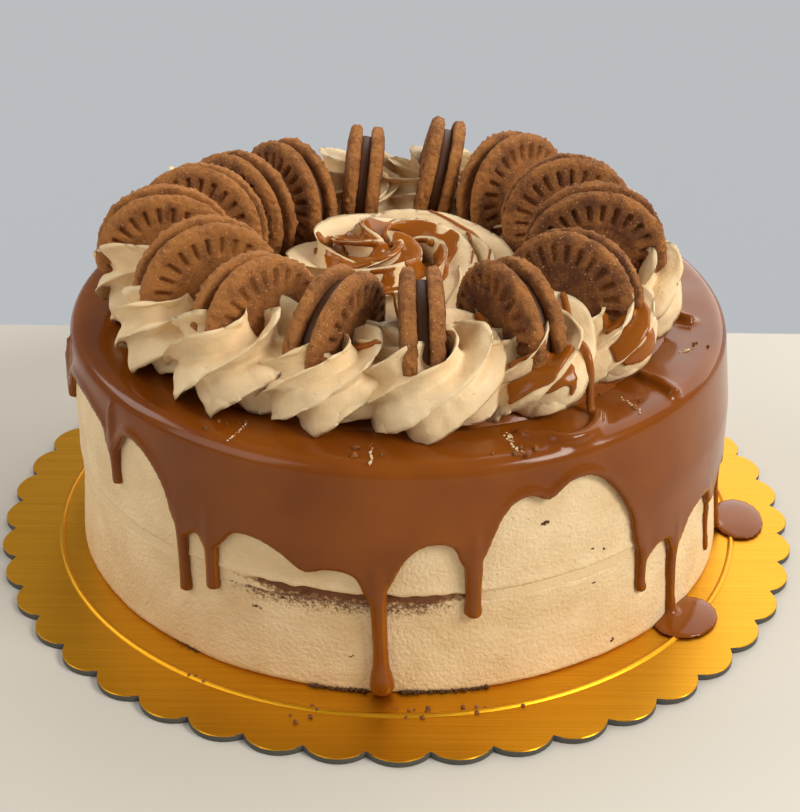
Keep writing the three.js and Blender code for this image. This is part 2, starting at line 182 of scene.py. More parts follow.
# A Catmull-Rom line through points in plan (mm), at height 0
def smoothLine(plan, count):
    line = []
    ends = [Vector((x * mm, y * mm, 0)) for x, y in (plan[0], *plan, plan[-1])]
    for i in range(count):
        place = i / (count - 1) * (len(plan) - 1)
        k = min(int(place), len(plan) - 2)
        t = place - k
        a, b, c, d = ends[k : k + 4]
        bend = (2 * a - 5 * b + 4 * c - d) * t * t + (3 * b - a - 3 * c + d) * t**3
        line.append(0.5 * (2 * b + (c - a) * t + bend))
    return line


def roughen(piece, size, strength):
    texture = bpy.data.textures.new("rough", "CLOUDS")
    texture.noise_scale = size
    texture.noise_depth = 2
    applyModifier(piece, "DISPLACE", texture=texture, texture_coords="LOCAL", strength=strength)


# Moves every vertex by a function of numpy columns x, y, z
def moveVertices(piece, move):
    count = len(piece.data.vertices)
    places = np.empty(count * 3)
    piece.data.vertices.foreach_get("co", places)
    places = places.reshape(-1, 3)
    moved = np.stack(move(places[:, 0], places[:, 1], places[:, 2]), 1)
    piece.data.vertices.foreach_set("co", moved.ravel())
    piece.data.update()


# From upright round the Z axis, heights from the board's top, to the leaning cake
def leaning(x, y, z):
    share = z / cake["height"]
    newX = x + cake["foot"][0] + cake["topShift"][0] * share
    newY = y + cake["foot"][1] + cake["topShift"][1] * share
    rise = cake["topSlope"] * (newY - cake["foot"][1]) * share
    return newX, newY, z + boardTop + rise


def wallRadius(height):
    share = height / cake["height"]
    straight = (1 - share) * (cake["footRadius"] - cake["flare"]) + share * cake["topRadius"]
    return straight + cake["flare"] * max(0, 1 - height / cake["flareHeight"])


def glazeTop(y):
    return boardTop + cake["height"] + cake["topSlope"] * (y - cake["foot"][1])


def polar(distance, azimuth, height):
    angle = radians(azimuth)
    return Vector((distance * cos(angle), distance * sin(angle), height))


# Materials

def linearColour(hexColour):
    channels = [int(hexColour[i : i + 2], 16) / 255 for i in (1, 3, 5)]
    return [c / 12.92 if c <= 0.04045 else ((c + 0.055) / 1.055) ** 2.4 for c in channels] + [1]


# A value is linked where it is a socket, or a node, which gives its first output
def setInputs(tree, node, inputs):
    for key, value in inputs.items():
        if isinstance(value, bpy.types.Node):
            value = value.outputs[0]
        if isinstance(value, bpy.types.NodeSocket):
            tree.links.new(value, node.inputs[key])
        else:
            node.inputs[key].default_value = value


# Stops are positions and hex colours, for a colour ramp
def addNode(tree, kind, inputs, stops=(), **settings):
    node = tree.nodes.new(f"ShaderNode{kind}")
    for key, value in settings.items():
        setattr(node, key, value)
    for i, (position, colour) in enumerate(stops):
        elements = node.color_ramp.elements
        element = elements[i] if i < 2 else elements.new(position)
        element.position = position
        element.color = linearColour(colour)
    setInputs(tree, node, inputs)
    return node


def newMaterial(name):
    material = bpy.data.materials.new(name)
    material.use_nodes = True
    tree = material.node_tree
    place = addNode(tree, "TexCoord", {}).outputs["Object"]
    return material, tree, tree.nodes["Principled BSDF"], place


def plainMaterial(name, colour, roughness):
    material, tree, shader, _ = newMaterial(name)
    setInputs(tree, shader, {"Base Color": linearColour(colour), "Roughness": roughness})
    return material


# Whipped buttercream: matt, soft and pale tan, as light goes a little way into the fat
cream = {
    "light": "#ECD3A9",
    "dark": "#E0C396",
    "patches": 14 * mm,
    "grain": 1.1 * mm,
    "grainHeight": 0.9 * mm,
    "grainStrength": 0.55,
    "pits": 3.2 * mm,
    "pitDepth": 0.4 * mm,
    "shader": {
        "Roughness": 0.5,
        "IOR": 1.45,
        "Subsurface Weight": 0.12,
        "Subsurface Radius": (1, 0.6, 0.3),
        "Subsurface Scale": 2 * mm,
    },
}


# Its colour and its fine grain
def creamSurface(tree, place, strength):
    patches = addNode(tree, "TexNoise", {"Vector": place, "Scale": 1 / cream["patches"], "Detail": 3})
    stops = [(0.35, cream["dark"]), (0.65, cream["light"])]
    colour = addNode(tree, "ValToRGB", {"Fac": patches}, stops=stops)
    grain = addNode(tree, "TexNoise", {"Vector": place, "Scale": 1 / cream["grain"], "Detail": 3})
    relief = {"Distance": cream["grainHeight"], "Height": grain}
    return colour, addNode(tree, "Bump", {"Strength": strength, **relief})


# Smoothed with a scraper or piped, with a few air pits
def buttercream(name, strength):
    material, tree, shader, place = newMaterial(name)
    colour, fine = creamSurface(tree, place, strength)
    pits = addNode(tree, "TexVoronoi", {"Vector": place, "Scale": 1 / cream["pits"]})
    depth = addNode(tree, "MapRange", {"Value": pits, "From Min": 0, "From Max": 0.12})
    bump = addNode(
        tree, "Bump", {"Strength": 0.6, "Distance": cream["pitDepth"], "Height": depth, "Normal": fine}
    )
    setInputs(tree, shader, {"Base Color": colour, "Normal": bump, **cream["shader"]})
    return material


# A grain plus how near a place is to the open stretch of the seam: across it, at the front and up it.
# Each range gives a first and last place, and what is added there
def nearSeam(tree, place, grain, look):
    x, y, z = addNode(tree, "SeparateXYZ", {"Vector": place}).outputs
    sideways = addNode(tree, "Math", {0: x, 1: look["left"]}, operation="ADD")
    away = addNode(tree, "Math", {0: sideways}, operation="ABSOLUTE")
    total = grain
    front = (-60 * mm, -85 * mm, -0.8, 0)
    for value, limits in ((away, look["across"]), (y, front), (z, look["up"])):
        names = ("From Min", "From Max", "To Min", "To Max")
        term = addNode(tree, "MapRange", {"Value": value, **dict(zip(names, limits))})
        total = addNode(tree, "Math", {0: total, 1: term}, operation="ADD")
    return total


# The same cream with sponge crumbs dragged into it, so brown and speckled under the open seam
def smearedCream():
    look = {
        "smear": "#B08C62",
        "crumb": "#6E4A2C",
        "grain": 0.8 * mm,
        "left": 15 * mm,
        "across": (22 * mm, 48 * mm, 0.1, -0.35),
        "up": (boardTop + 21.4 * mm, boardTop + 28.4 * mm, -0.3, 0.08),
    }
    material, tree, shader, place = newMaterial("smearedCream")
    plain, fine = creamSurface(tree, place, cream["grainStrength"])
    grain = addNode(
        tree, "TexNoise", {"Vector": place, "Scale": 1 / look["grain"], "Detail": 5, "Roughness": 0.75}
    )
    total = nearSeam(tree, place, grain, look)
    amount = addNode(tree, "MapRange", {"Value": total, "From Min": 0.44, "From Max": 0.66})
    dragged = addNode(tree, "ValToRGB", {"Fac": amount}, stops=[(0.35, look["smear"]), (0.9, look["crumb"])])
    mixed = addNode(tree, "Mix", {"Factor": amount, 6: plain, 7: dragged}, data_type="RGBA").outputs[2]
    setInputs(tree, shader, {"Base Color": mixed, "Normal": fine, **cream["shader"]})
    return material


# Dark sponge, cut: dry open crumb, smeared with cream but for the open stretch of the seam, and
# darker along its top with painted shade, for the shadow under the upper cream's lip
def spongeCrumb():
    look = {
        "crumb": "#6B3E1E",
        "smear": "#B08C62",
        "cream": "#E6CB9F",
        "grain": 1.5 * mm,
        "left": 10 * mm,
        "across": (20 * mm, 34 * mm, 0.25, -0.3),
        # painted shade: darker towards the top of the band, where the upper cream's lip shades it
        "up": (boardTop + 29 * mm, boardTop + 30.5 * mm, -0.14, 0.1),
    }
    material, tree, shader, place = newMaterial("spongeCrumb")
    grain = addNode(
        tree, "TexNoise", {"Vector": place, "Scale": 1 / look["grain"], "Detail": 4, "Roughness": 0.7}
    )
    total = nearSeam(tree, place, grain, look)
    stops = [(0.4, look["cream"]), (0.5, look["smear"]), (0.66, look["crumb"])]
    colour = addNode(tree, "ValToRGB", {"Fac": total}, stops=stops)
    bump = addNode(tree, "Bump", {"Strength": 0.8, "Distance": 0.5 * mm, "Height": grain})
    setInputs(tree, shader, {"Base Color": colour, "Normal": bump, "Roughness": 0.85})
    return material


# Caramel sauce, poured: glossy and slightly see-through, so it glows brown where light goes in
def caramelSauce(name, light, dark):
    patchSize = 30 * mm
    material, tree, shader, place = newMaterial(name)
    patches = addNode(tree, "TexNoise", {"Vector": place, "Scale": 1 / patchSize, "Detail": 2})
    colour = addNode(tree, "ValToRGB", {"Fac": patches}, stops=[(0.35, dark), (0.65, light)])
    gloss = {"Roughness": 0.16, "IOR": 1.45, "Specular IOR Level": 0.34}
    depth = {"Subsurface Weight": 0.15, "Subsurface Radius": (1, 0.4, 0.15), "Subsurface Scale": 2 * mm}
    setInputs(tree, shader, {"Base Color": colour, **gloss, **depth})
    return material


# Spiced biscuit, baked: dry, matt, rough crumb with a few sugar grains that catch the light
def bakedBiscuit():
    look = {
        "light": "#B27334",
        "dark": "#643410",
        "sugarColour": "#E2B27A",
        "patches": 5 * mm,
        "grain": 0.55 * mm,
        "grainHeight": 0.7 * mm,
        "sugar": 1.0 * mm,
    }
    material, tree, shader, place = newMaterial("bakedBiscuit")
    patches = addNode(tree, "TexNoise", {"Vector": place, "Scale": 1 / look["patches"], "Detail": 4})
    grain = addNode(
        tree, "TexNoise", {"Vector": place, "Scale": 1 / look["grain"], "Detail": 4, "Roughness": 0.7}
    )
    # painted light where the crumb stands proud and painted shade in its hollows, from the grain that also
    # makes the bump; lighter round the rim, plus each biscuit's painted light or shade held in the rim
    # attribute
    rim = addNode(tree, "Attribute", {}, attribute_name="rim").outputs["Fac"]
    toneAndPaintedLight = addNode(tree, "Math", {0: patches, 1: grain}, operation="ADD")
    toneAndPaintedLight = addNode(tree, "Math", {0: toneAndPaintedLight, 1: rim}, operation="ADD")
    half = addNode(tree, "Math", {0: toneAndPaintedLight, 1: 0.5}, operation="MULTIPLY")
    colour = addNode(tree, "ValToRGB", {"Fac": half}, stops=[(0.38, look["dark"]), (0.62, look["light"])])
    bump = addNode(tree, "Bump", {"Strength": 1, "Distance": look["grainHeight"], "Height": grain})
    # only some of the cells hold a grain of sugar
    cells = addNode(tree, "TexVoronoi", {"Vector": place, "Scale": 1 / look["sugar"]})
    limits = {"From Min": 0.12, "From Max": 0.22, "To Min": 0.9, "To Max": 0}
    sugar = addNode(tree, "MapRange", {"Value": cells, **limits})
    chosen = addNode(tree, "Math", {0: cells.outputs["Color"], 1: 0.62}, operation="GREATER_THAN")
    share = addNode(tree, "Math", {0: sugar, 1: chosen}, operation="MULTIPLY")
    sides = {"Factor": share, 6: colour, 7: linearColour(look["sugarColour"])}
    mixed = addNode(tree, "Mix", sides, data_type="RGBA").outputs[2]
    setInputs(tree, shader, {"Base Color": mixed, "Normal": bump, "Roughness": 0.75})
    return material


# Gold foil on card, rolled: bright metal with fine straight brushed lines
def goldFoil():
    look = {"light": "#E0A528", "dark": "#CE9119", "line": 0.3 * mm, "run": 60 * mm, "turn": 8}
    material, tree, shader, place = newMaterial("brushedGoldFoil")
    turned = {"Rotation": (0, 0, radians(look["turn"])), "Scale": (look["line"] / look["run"], 1, 1)}
    stretched = addNode(tree, "Mapping", {"Vector": place, **turned})
    lines = addNode(tree, "TexNoise", {"Vector": stretched, "Scale": 1 / look["line"], "Detail": 2})
    colour = addNode(tree, "ValToRGB", {"Fac": lines}, stops=[(0.3, look["dark"]), (0.7, look["light"])])
    limits = {"From Min": 0.3, "From Max": 0.7, "To Min": 0.38, "To Max": 0.46}
    rough = addNode(tree, "MapRange", {"Value": lines, **limits})
    setInputs(tree, shader, {"Base Color": colour, "Roughness": rough, "Metallic": 1})
    return material


materials = {
    "buttercream": buttercream("smoothedButtercream", cream["grainStrength"]),
    "pipedCream": buttercream("pipedButtercream", 0.22),
    "smearedCream": smearedCream(),
    "caramel": caramelSauce("pouredCaramel", "#87480F", "#763B09"),
    "thinCaramel": caramelSauce("thinCaramel", "#A35E18", "#874A0E"),
    "biscuit": bakedBiscuit(),
    "filling": plainMaterial("biscuitFillingPaintedShade", "#593418", 0.55),  # smooth, dense brown cream, painted darker for the shade in the gap between the wafers
    "sponge": spongeCrumb(),
    "foil": goldFoil(),
    "cardEdge": plainMaterial("cardEdge", "#4B4A44", 0.6),  # cut edge of the card, dark grey
    "darkCrumbAndShadow": plainMaterial("darkCrumbAndShadow", "#553519", 0.85),  # loose sponge, dry and dark; along the foot it also stands in for painted shadow
}


def finishPiece(piece, material, nodes=()):
    piece.data.materials.clear()
    piece.data.materials.append(materials[material])
    activate(piece)
    bpy.ops.object.shade_smooth()
    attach(piece, "root")
    if nodes:
        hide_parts(*nodes)


# Cake board: scalloped card covered in foil, with a shallow pressed ring
board = {
    "scallops": 46,
    "pointsPerScallop": 10,
    "firstNotch": 164.869,
    "notchRadius": 121.5 * mm,
    "crestRadius": 125.3 * mm,
    "drawnIn": 6 * mm,  # how far from the edge the scallops pull the card in
    "edge": 0.2 * mm,
    "pressedRing": 107 * mm,
    "ringWidth": 2.0 * mm,
    "ringHeight": 0.7 * mm,
}


def turnAbout(x, y, z, angle):
    c, s = cos(radians(angle)), sin(radians(angle))
    return x * c - y * s, x * s + y * c, z


def makeBoard():
    edge = board["edge"]
    full = board["crestRadius"]
    profile = [(0, boardBottom), (full - edge, boardBottom), (full, boardBottom + edge)]
    profile += [(full, boardTop - edge), (full - edge, boardTop), (full - 4 * mm, boardTop)]
    for across, up in ((0.5, 0), (0.25, 0.8), (0, 1), (-0.25, 0.8), (-0.5, 0)):
        radius = board["pressedRing"] + across * board["ringWidth"]
        profile.append((radius, boardTop + up * board["ringHeight"]))
    profile += [(60 * mm, boardTop), (0, boardTop)]
    plate = growRings("goldBoard", profile, board["scallops"] * board["pointsPerScallop"])
    step = 360 / board["scallops"]
    halfChord = board["notchRadius"] * sin(radians(step / 2))
    rise = board["crestRadius"] - board["notchRadius"] * cos(radians(step / 2))
    arcRadius = (halfChord**2 + rise**2) / (2 * rise)

    # pulls the round edge in to arcs that meet in notches
    def scallop(x, y, z):
        radius = np.hypot(x, y)
        azimuth = np.degrees(np.arctan2(y, x))
        turn = np.radians((azimuth - board["firstNotch"]) % step - step / 2)
        centre = board["crestRadius"] - arcRadius
        edgeRadius = centre * np.cos(turn) + np.sqrt(arcRadius**2 - (centre * np.sin(turn)) ** 2)
        pull = np.clip((radius - (full - board["drawnIn"])) / board["drawnIn"], 0, 1)
        scale = 1 + pull * (edgeRadius / full - 1)
        return x * scale, y * scale, z

    # a circle starts at +Y, and turned by this its vertices fall on the notches
    moveVertices(plate, lambda x, y, z: turnAbout(x, y, z, board["firstNotch"] - 90))
    moveVertices(plate, scallop)
    finishPiece(plate, "foil", ["cake_board"])
    plate.data.materials.append(materials["cardEdge"])
    for face in plate.data.polygons:
        if face.normal.z < 0.4 and face.center.z < boardTop - 0.1 * mm:
            face.material_index = 1
    activate(plate)
    bpy.ops.object.shade_smooth_by_angle(angle=radians(40))


makeBoard()
print("board made")

# Cream wall in two parts with a thin sponge layer that shows at the seam, on a stretch of the front only
wall = {
    "sides": 480,
    "lowerRings": 32,
    "upperRings": 35,
    "seamHeight": 32.6 * mm,
    "spongeThickness": 3 * mm,
    "spongeRings": 12,
    "openFrom": -117,
    "openTo": -73,
    "openInset": 0.1 * mm,
    "crumbDepth": 0.4 * mm,
    "crumbSize": 1.6 * mm,
    "fray": 0.9 * mm,
    "coatFoot": 49 * mm,
    "glazeThickness": 1.6 * mm,
    "rimRounding": 4.5 * mm,
    "waves": (28 * mm, 0.9 * mm),  # length, height
    "grain": (2.4 * mm, 0.3 * mm),
}


# 0 where the cream stands bare and 1 where it is set back by the whole thickness of the glaze
def coatShare(height):
    top = cake["height"] - wall["rimRounding"]
    return min(max((height - wall["coatFoot"]) / (top - wall["coatFoot"]), 0), 1)


# 1 where the seam is open and dark crumb shows, 0 where cream covers it
def seamOpening(x, y):
    azimuth = degrees(atan2(y, x))
    ragged = noise.noise(Vector((azimuth / 6, 0.5, 0)))
    ends = min(azimuth - wall["openFrom"], wall["openTo"] - azimuth) / 8
    return min(max(ends + 0.9 * ragged, 0), 1)


def makeWall():
    seam = wall["seamHeight"]
    low = seam - wall["spongeThickness"]
    atLow, atSeam = wallRadius(low), wallRadius(seam)
    profile = [(0, 0), (wallRadius(0) - 0.8 * mm, 0), (wallRadius(0.6 * mm), 0.6 * mm)]
    for i in range(2, wall["lowerRings"]):
        height = (low - 1 * mm) * i / wall["lowerRings"]
        profile.append((wallRadius(height), height))
    profile += [(atLow, low - 0.8 * mm), (atLow - 0.1 * mm, low - 0.3 * mm)]
    profile += [(atLow - 0.5 * mm, low), (0, low)]
    lower = growRings("creamLower", profile, wall["sides"])
    top = cake["height"] - wall["glazeThickness"]
    bend = wall["rimRounding"] - wall["glazeThickness"]
    profile = [(0, seam), (atSeam - 0.5 * mm, seam), (atSeam + 0.1 * mm, seam + 0.3 * mm)]
    profile += [(atSeam + 0.35 * mm, seam + 0.8 * mm), (atSeam + 0.25 * mm, seam + 1.6 * mm)]
    for i in range(2, wall["upperRings"] + 1):
        height = seam + 1 * mm + (top - bend - seam - 1 * mm) * i / wall["upperRings"]
        profile.append((wallRadius(height) - wall["glazeThickness"] * coatShare(height), height))
    profile += [(wallRadius(top) - wall["rimRounding"], top), (0, top)]
    upper = growRings("creamUpper", profile, wall["sides"])

    # ragged edges where the seam is open
    def fray(x, y, z):
        shift = np.zeros(len(z))
        for i in np.nonzero(np.abs(z - seam + wall["spongeThickness"] / 2) < 2.6 * mm)[0]:
            ragged = noise.noise(Vector((x[i] / (4 * mm), y[i] / (4 * mm), z[i] / (10 * mm))))
            shift[i] = wall["fray"] * ragged * seamOpening(x[i], y[i])
        return x, y, z + shift

    parts = [(lower, "smearedCream", "cake_lower"), (upper, "buttercream", "cake_upper")]
    for piece, material, node in parts:
        moveVertices(piece, fray)
        moveVertices(piece, leaning)
        roughen(piece, *wall["waves"])
        roughen(piece, *wall["grain"])
        finishPiece(piece, material, [node])
    profile = [(0, low - 0.5 * mm)]
    for i in range(wall["spongeRings"] + 1):
        height = low - 0.5 * mm + (wall["spongeThickness"] + 1 * mm) * i / wall["spongeRings"]
        profile.append((wallRadius(height), height))
    profile.append((0, seam + 0.5 * mm))
    sponge = growRings("spongeBand", profile, 3 * wall["sides"])

    # set back and crumbly at the opening, flush elsewhere
    def setBack(x, y, z):
        scale = np.ones(len(x))
        for i in range(len(x)):
            radius = hypot(x[i], y[i])
            if radius > 90 * mm:
                crumb = noise.noise(Vector((x[i], y[i], z[i])) / wall["crumbSize"])
                inset = wall["openInset"] + wall["crumbDepth"] * crumb
                scale[i] = (radius - 0.1 * mm - seamOpening(x[i], y[i]) * inset) / radius
        return x * scale, y * scale, z

    moveVertices(sponge, setBack)
    moveVertices(sponge, leaning)
    roughen(sponge, *wall["waves"])
    finishPiece(sponge, "sponge", ["sponge_layer"])


makeWall()
print("cream wall made")

# Caramel glaze: azimuths in degrees, heights and widths in mm, as the CAD's
glaze = {
    "frontDrips": [
        # azimuth, width, root, tip, arch after it
        (-166, 3.4, 58, 48, 64),
        (-142, 3.4, 57, 41.5, 62),
        (-125.6, 3.8, 44, 18.8, 44.5),
        (-119.7, 4.2, 43, 23.2, 47),
        (-104, 0, 37.5, 37.5, 40.5),
        (-93.1, 4.9, 34.5, 3, 49.5),
        (-78.5, 4.8, 43, 22.9, 60.5),
        (-66.6, 0, 57, 57, 61.5),
        (-48, 3.7, 32, 14.9, 30),
        (-38.8, 3.8, 28, 1, 33),
        (-24.6, 2.6, 30, 7.5, 33),
        (-10.5, 2.6, 29, 1, 40),
    ],
    "backDrips": 9,
    "backFrom": 2,
    "backTo": 184,
    "columns": 900,
    "rows": 44,
    "sideRows": 30,  # the lowest rows, on the side
    "rimRows": 8,  # the next ones, round the rim
    "cornerRounds": 9,
    "sheetThickness": 2.6 * mm,
    "edgeThickness": 2.1 * mm,
    "lip": 1.3 * mm,
    "lipHeight": 2.5 * mm,
    "bead": 1.3 * mm,
    "beadOut": 1.0 * mm,
    "funnelDrop": 4.5 * mm,
    "funnelRight": 3.2,
    "funnelLeft": 1.2,
    "dripSteps": 24,
    "dripStart": 12 * mm,  # above the root, inside the sheet
    "innerRadius": 80 * mm,
    "unevenness": (14 * mm, 0.5 * mm),  # length and height of the waves on top
    "voxel": 0.9 * mm,
    # azimuth, distance from the foot's middle, half length out, half width, height
    "puddles": [(-38.4, 106, 10, 12, 2.2), (-6.5, 109, 9, 13, 2.0)],
    # width, then points in plan
    "strands": [
        (3.0, [(53, -68), (52, -75), (48.5, -80.5), (43, -83), (39, -81.5), (35, -81.5), (31, -79.5)]),
        (3.4, [(66.5, -47.5), (71, -52), (74, -55.5), (75.5, -59)]),
        (3.4, [(78, -6), (81, -10), (84, -13), (87, -14.5)]),
    ],
}


# The CAD draws its hidden drips with the same small generator, so the two agree
def seededShares(seed):
    state = seed
    while True:
        state = (state * 1664525 + 1013904223) % 4294967296
        yield state / 4294967296


def allDrips():
    draw = seededShares(11)
    drips = list(glaze["frontDrips"])
    for i in range(glaze["backDrips"]):
        share = (i + 0.5 + 0.5 * (next(draw) - 0.5)) / glaze["backDrips"]
        root = 32 + 16 * next(draw)
        azimuth = glaze["backFrom"] + (glaze["backTo"] - glaze["backFrom"]) * share
        width = 3 + 2 * next(draw)
        tip = max(6, root - 12 - 24 * next(draw))
        arch = root + 4 + 10 * next(draw)
        drips.append((azimuth, width, root, tip, arch))
    return drips


def edgeHeightAt(azimuth, drips):
    for i, (left, _, leftRoot, _, arch) in enumerate(drips):
        right, _, rightRoot, _, _ = drips[(i + 1) % len(drips)]
        span = (right - left) % 360
        start = (azimuth - left) % 360
        if start <= span:
            share = start / span
            chord = leftRoot + (rightRoot - leftRoot) * share
            peak = max(arch - (leftRoot + rightRoot) / 2, 0.5)
            return (chord + peak * sin(pi * share) ** 0.7) * mm
    return cake["height"] / 2


# The sheet draws down into each drip, in a wider curve on the drip's right
def funnelAt(azimuth, drips):
    drop = 0
    for place, width, *_ in drips:
        away = ((azimuth - place + 180) % 360 - 180) * pi / 180 * 100
        reach = glaze["funnelRight"] if away > 0 else glaze["funnelLeft"]
        if width:
            drop = max(drop, exp(-((max(0, abs(away) - width / 2) / reach) ** 1.5)))
    return glaze["funnelDrop"] * drop


# The height of the glaze's edge all round
def sheetEdges(drips):
    columns = glaze["columns"]
    edges = [edgeHeightAt(360 * i / columns, drips) for i in range(columns)]
    # rounds the corners that the drips' roots and the arches make
    for _ in range(glaze["cornerRounds"]):
        edges = [(edges[i - 1] + 2 * edges[i] + edges[(i + 1) % columns]) / 4 for i in range(columns)]
    return [edge - funnelAt(360 * i / columns, drips) for i, edge in enumerate(edges)]


# The sheet from its edge on the side, over the rim and in under the ring of cream
def makeSheet(edges):
    columns, rows, sideRows, rimRows = (glaze[key] for key in ("columns", "rows", "sideRows", "rimRows"))
    bend = wall["rimRounding"]
    sideTop = cake["height"] - bend
    outer = wallRadius(sideTop) - bend
    waveLength, waveHeight = glaze["unevenness"]
    gridAdd = bpy.ops.mesh.primitive_grid_add
    sheet = addPrimitive(gridAdd, x_subdivisions=columns, y_subdivisions=rows, size=2)
    for vertex in sheet.data.vertices:
        column = round((vertex.co.x + 1) / 2 * columns) % columns
        row = round((vertex.co.y + 1) / 2 * rows)
        azimuth = 360 * column / columns
        edge = edges[column]
        if row <= sideRows:
            height = edge + (sideTop - edge) * (row / sideRows) ** 1.5
            rise = height - edge
            thin = coatShare(height)
            lip = glaze["lip"] * exp(-((rise / glaze["lipHeight"]) ** 2))
            rounding = min(1, 0.2 + rise / (1.2 * mm)) ** 0.5
            out = (glaze["edgeThickness"] * (1 - thin) + lip * (0.3 + thin)) * rounding
            vertex.co = polar(wallRadius(height) + out, azimuth, height)
        elif row <= sideRows + rimRows:
            turn = radians(90 * (row - sideRows) / rimRows)
            radius = wallRadius(sideTop) - bend * (1 - cos(turn))
            vertex.co = polar(radius, azimuth, sideTop + bend * sin(turn))
        else:
            share = (row - sideRows - rimRows) / (rows - sideRows - rimRows)
            place = polar(outer + (glaze["innerRadius"] - outer) * share, azimuth, cake["height"])
            place.z += waveHeight * noise.noise(place / waveLength) * sin(pi * share)
            vertex.co = place
    mergeAndTurnOut(sheet, 0.001 * mm)
    applyModifier(sheet, "SOLIDIFY", thickness=glaze["sheetThickness"], offset=-1)
    return sheet


# The sauce gathers in a bead along the edge
def makeEdgeBead(edges):
    points = []
    for i in range(len(edges) + 1):
        height = edges[i % len(edges)] + glaze["bead"]
        out = glaze["beadOut"] - wall["glazeThickness"] * 0.6 * coatShare(height)
        points.append(polar(wallRadius(height) + out, 360 * i / len(edges), height))
    return sweepStrand("bead", points, [glaze["bead"]] * len(points))


def makeDrip(azimuth, width, root, tip):
    half = width / 2 * mm
    root, start = root * mm, glaze["dripStart"]
    # the drip that reaches the board ends in a round bead on it
    end, swelling = (3.3 * mm, 0.6) if tip == 3 else (tip * mm + 1.1 * half, 0.12)
    sway = 0.7 * sin(azimuth)  # degrees, uneven from drip to drip
    points, radii = [], []
    for i in range(glaze["dripSteps"] + 1):
        share = i / glaze["dripSteps"]
        height = root + start + (end - root - start) * share
        bulb = 1 + swelling * exp(-(((height - end) / (2 * half)) ** 2))
        neck = 1 + 0.25 * exp(-abs(height - root + 2 * mm) / (4 * mm))
        hidden = min(1, 0.45 + max(0, root + start - height) / (10 * mm))
        points.append(polar(wallRadius(height) + 0.3 * half, azimuth + sway * share, height))
        radii.append(0.92 * half * bulb * neck * hidden)
    strand = sweepStrand("drip", points, radii)
    sphereAdd = bpy.ops.mesh.primitive_uv_sphere_add
    ball = addPrimitive(sphereAdd, segments=20, ring_count=12, radius=radii[-1], location=points[-1])
    return [strand, ball]


def makePuddle(azimuth, distance, out, across, height):
    puddle = addPrimitive(bpy.ops.mesh.primitive_uv_sphere_add, segments=48, ring_count=24, radius=1)
    puddle.scale = (out * mm, across * mm, height * mm)
    puddle.rotation_euler = (0, 0, radians(azimuth))
    puddle.location = polar(distance * mm, azimuth, 0)
    bpy.ops.object.transform_apply(location=True, rotation=True, scale=True)
    editWhole(puddle)
    bpy.ops.mesh.bisect(plane_co=(0, 0, 0.15 * mm), plane_no=(0, 0, 1), clear_inner=True, use_fill=True)
    leaveEdit()
    return puddle


def makeStrandOnGlaze(width, plan):
    count = 40
    half = width / 2 * mm
    points = [Vector((p.x, p.y, glazeTop(p.y) + half / 2)) for p in smoothLine(plan, count)]
    radii = [half * (0.9 + 0.25 * sin(pi * i / (count - 1))) for i in range(count)]
    radii[-1] = radii[-2] = half
    return sweepStrand("strand", points, radii)


def makeGlaze():
    drips = allDrips()
    edges = sheetEdges(drips)
    parts = [makeSheet(edges), makeEdgeBead(edges)]
    for azimuth, width, root, tip, _ in drips:
        if width:
            parts += makeDrip(azimuth, width, root, tip)
    for puddle in glaze["puddles"]:
        parts.append(makePuddle(*puddle))
    for part in parts:
        moveVertices(part, leaning)
    for width, plan in glaze["strands"]:
        parts.append(makeStrandOnGlaze(width, plan))
    whole = joinPieces(parts, "caramelGlaze")
    fuse(whole, glaze["voxel"], 5)
    finishPiece(whole, "caramel", ["caramel_glaze"])
    # the flat middle of the glaze, hidden under the cream ring but for its gaps
    outer, top = glaze["innerRadius"] + 2 * mm, cake["height"]
    low, high = top - wall["glazeThickness"], top - 0.1 * mm
    middle = growRings("caramelMiddle", [(0, low), (outer, low), (outer, high), (0, high)], 96)
    moveVertices(middle, leaning)
    finishPiece(middle, "caramel", ["caramel_glaze"])


makeGlaze()
print("caramel glaze made")

# Piped cream: a rope from a closed star tip, coiled once and a bit for a swirl, wound flat for the rosette
piping = {
    # fins and how deep the valleys between them are, for the two tips used in turn
    "tips": [(7, 0.54), (6, 0.62)],
    "finCurl": -28,
    "sectionPoints": 144,
    "ringCentre": (-3.5 * mm, -1 * mm),
    "swirlSteps": 150,
    "swirlDistance": 66.5 * mm,
    "swirlRope": 12.8 * mm,
    "swirlCoil": 11.2 * mm,
    "swirlTurns": 1.55,
    "swirlTwist": -1.0,
    "swirlStretch": 1.06,
    "swirlRise": 6 * mm,
    "swirlReach": 18 * mm,  # tips beyond it are drawn in
    "backLow": 0.8,
    "folds": (9 * mm, 2.8 * mm),  # length, height
    "grain": (1.8 * mm, 0.1 * mm),
    "nudges": {0: 1.8, 12: 1.5, 13: 2.2},  # mm further out, by index
    "rosetteSteps": 300,
    "rosetteCentre": (-2.5 * mm, 0.5 * mm),
    "rosetteStart": -60,
    "rosetteRope": 11 * mm,
    "rosetteRadius": 30.5 * mm,
    "rosetteTurns": 2.2,
    "rosetteTwist": -0.7,
    "rosetteRise": 8.5 * mm,
    "rosetteFolds": (9 * mm, 1.2 * mm),
}
# azimuth, distance from the ring's middle, height above the board, turn, lean
biscuitPlaces = [
    (-81, 62, 88, 8, 2),
    (-57, 61.5, 87, 3, 0),
    (-34, 61.5, 88.5, -4, -9),
    (-10, 61, 94, -7, 5),
    (20, 59, 91, 19, -8),
    (50, 62, 89, 10, -7),
    (76, 62.5, 89, -12, 12),
    (99, 61.5, 86, 9, 6),
    (125, 58, 85.5, -6, 4),
    (147, 57, 87, 3, 4),
    (167, 59, 89, 0, 10),
    (188, 65, 91, 2, -5),
    (214, 60, 91, 10, -1),
    (235.5, 61, 87, 11, 7),
    (256.5, 59, 86.5, 13, -6),
]


